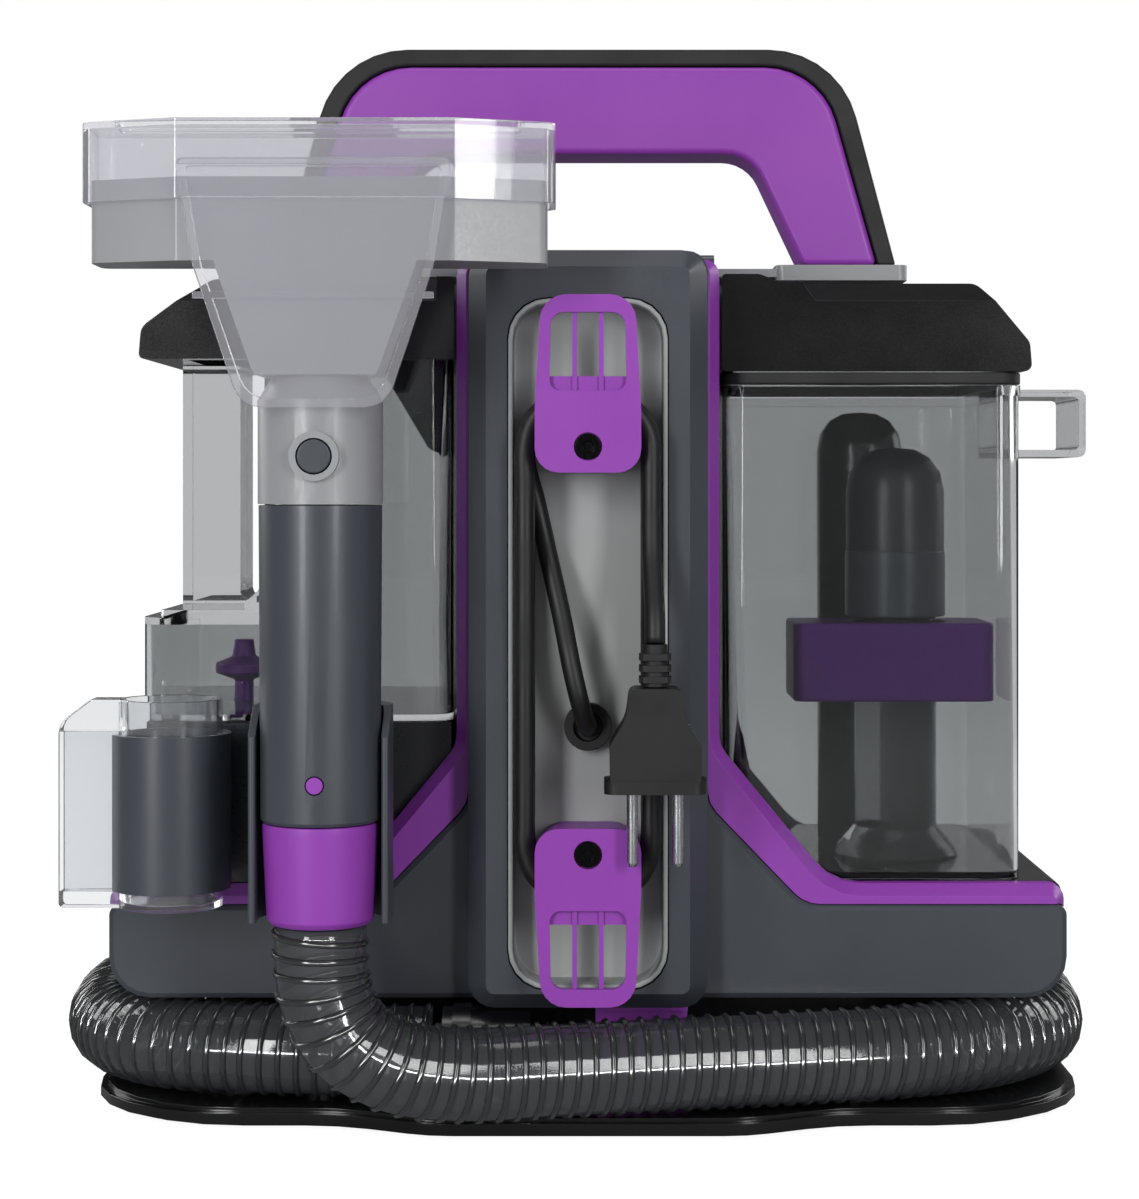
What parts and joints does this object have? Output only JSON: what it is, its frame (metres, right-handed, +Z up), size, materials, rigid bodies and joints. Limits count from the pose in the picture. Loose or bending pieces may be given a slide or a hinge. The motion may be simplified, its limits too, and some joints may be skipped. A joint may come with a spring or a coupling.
{
  "type": "portable carpet cleaner",
  "caption": "Portable carpet and upholstery cleaner with slide-out clean and dirty water tanks, wand and nozzle in a cradle, wrapped suction hose, hand tool and wound mains cord.",
  "frame": {"origin": "middle of the bounding box at the floor, the hose and the mains cord left out", "axes": "+Z up; the wand and the cord hooks face -Y; the dirty-water tank is on the +X side"},
  "size_m": [0.422, 0.2922, 0.429],
  "materials": {
    "slate_plastic": "fine-textured moulded ABS",
    "purple_plastic": "satin moulded ABS",
    "black_plastic": "gloss moulded ABS",
    "black_rubber": "matt rubber",
    "panel_grey_plastic": "fine-textured moulded ABS",
    "nozzle_grey_plastic": "satin moulded ABS",
    "smoked_clear_plastic": "smoked clear SAN",
    "hose_plastic": "translucent ribbed EVA",
    "cord_pvc": "matt PVC",
    "bare_metal": "nickel-plated",
    "black_steel": "blackened",
    "motor_metal": "pressed sheet"
  },
  "bodies": {
    "root": {"base_tray": "black_plastic", "plinth": "black_plastic", "hose_port": "black_plastic", "centre_frame": "black_plastic", "exhaust_grille": "black_plastic", "pump_pedestal": "black_plastic", "foot_front_left": "black_rubber", "foot_rear_left": "black_rubber", "foot_front_right": "black_rubber", "foot_rear_right": "black_rubber", "handle_grip": "black_rubber", "cord_gland": "black_rubber", "plug_strain_relief": "black_rubber", "hose_saddle": "purple_plastic", "front_trim": "purple_plastic", "rear_trim": "purple_plastic", "carry_handle": "purple_plastic", "hook_post_upper": "purple_plastic", "cord_hook_lower": "purple_plastic", "front_shell": "slate_plastic", "rear_shell": "slate_plastic", "top_cap": "slate_plastic", "wand_cradle": "slate_plastic", "tool_clip": "slate_plastic", "handle_bridge": "nozzle_grey_plastic", "cord_panel": "panel_grey_plastic", "suction_hose": "hose_plastic", "cord_lead": "cord_pvc", "cord_winding": "cord_pvc", "cord_tail": "cord_pvc", "plug_body": "cord_pvc", "plug_pin_left": "bare_metal", "plug_pin_right": "bare_metal", "hook_screw_upper": "black_steel", "hook_screw_lower": "black_steel", "suction_motor": "motor_metal", "water_pump": "motor_metal"},
    "fan": {"fan_impeller": "motor_metal"},
    "power_button": {"power_button": "slate_plastic"},
    "hook_upper": {"cord_hook_upper": "purple_plastic"},
    "wand": {"wand_tube": "slate_plastic", "wand_collar": "purple_plastic"},
    "wand_button": {"wand_button": "purple_plastic"},
    "wand_trigger": {"wand_trigger": "purple_plastic"},
    "nozzle": {"nozzle_body": "nozzle_grey_plastic", "nozzle_cover": "smoked_clear_plastic"},
    "nozzle_button": {"nozzle_button": "slate_plastic"},
    "hand_tool": {"hand_tool": "smoked_clear_plastic"},
    "dirty_tank": {"dirty_tank": "smoked_clear_plastic", "tank_gasket": "black_rubber", "dirty_tank_lid": "black_plastic", "suction_duct": "black_plastic", "duct_sleeve": "slate_plastic", "float_column": "smoked_clear_plastic"},
    "float": {"float": "purple_plastic"},
    "clean_tank": {"clean_tank": "smoked_clear_plastic", "clean_tank_lid": "black_plastic", "filler_funnel": "black_plastic"},
    "tank_valve": {"tank_valve": "purple_plastic"}
  },
  "joints": [
    {"name": "dirty_tank_slide", "type": "slide", "parent": "root", "child": "dirty_tank", "axis": [1, 0, 0], "range_m": [0, 0.15]},
    {"name": "float_rise", "type": "slide", "parent": "dirty_tank", "child": "float", "axis": [0, 0, 1], "range_m": [0, 0.022]},
    {"name": "clean_tank_slide", "type": "slide", "parent": "root", "child": "clean_tank", "axis": [-1, 0, 0], "range_m": [0, 0.15]},
    {"name": "tank_valve_lift", "type": "slide", "parent": "clean_tank", "child": "tank_valve", "axis": [0, 0, 1], "range_m": [0, 0.003], "stiffness_N_per_m": 100, "springref_m": -0.003},
    {"name": "fan_spin", "type": "hinge", "parent": "root", "child": "fan", "pos_m": [-0.00295, 0.0311, 0.2124], "axis": [0, 0, 1], "continuous": true},
    {"name": "power_button_press", "type": "slide", "parent": "root", "child": "power_button", "axis": [0, 0, -1], "range_m": [0, 0.0022], "stiffness_N_per_m": 1200, "springref_m": -0.0003},
    {"name": "hook_swivel", "type": "hinge", "parent": "root", "child": "hook_upper", "pos_m": [-0.00295, -0.0949, 0.2608], "axis": [0, -1, 0], "range_deg": [0, 180]},
    {"name": "wand_pull", "type": "slide", "parent": "root", "child": "wand", "axis": [0, -1, 0], "range_m": [0, 0.06]},
    {"name": "wand_button_press", "type": "slide", "parent": "wand", "child": "wand_button", "axis": [0, 1, 0], "range_m": [0, 0.0015], "stiffness_N_per_m": 600},
    {"name": "trigger_squeeze", "type": "hinge", "parent": "wand", "child": "wand_trigger", "pos_m": [-0.10095, -0.1009, 0.221], "axis": [-1, 0, 0], "range_deg": [0, 11], "stiffness_Nm_per_rad": 0.3},
    {"name": "nozzle_lift", "type": "slide", "parent": "wand", "child": "nozzle", "axis": [0, 0, 1], "range_m": [0, 0.04]},
    {"name": "nozzle_button_press", "type": "slide", "parent": "nozzle", "child": "nozzle_button", "axis": [0, 1, 0], "range_m": [0, 0.002], "stiffness_N_per_m": 800},
    {"name": "hand_tool_lift", "type": "slide", "parent": "root", "child": "hand_tool", "axis": [0, 0, 1], "range_m": [0, 0.09]}
  ]
}
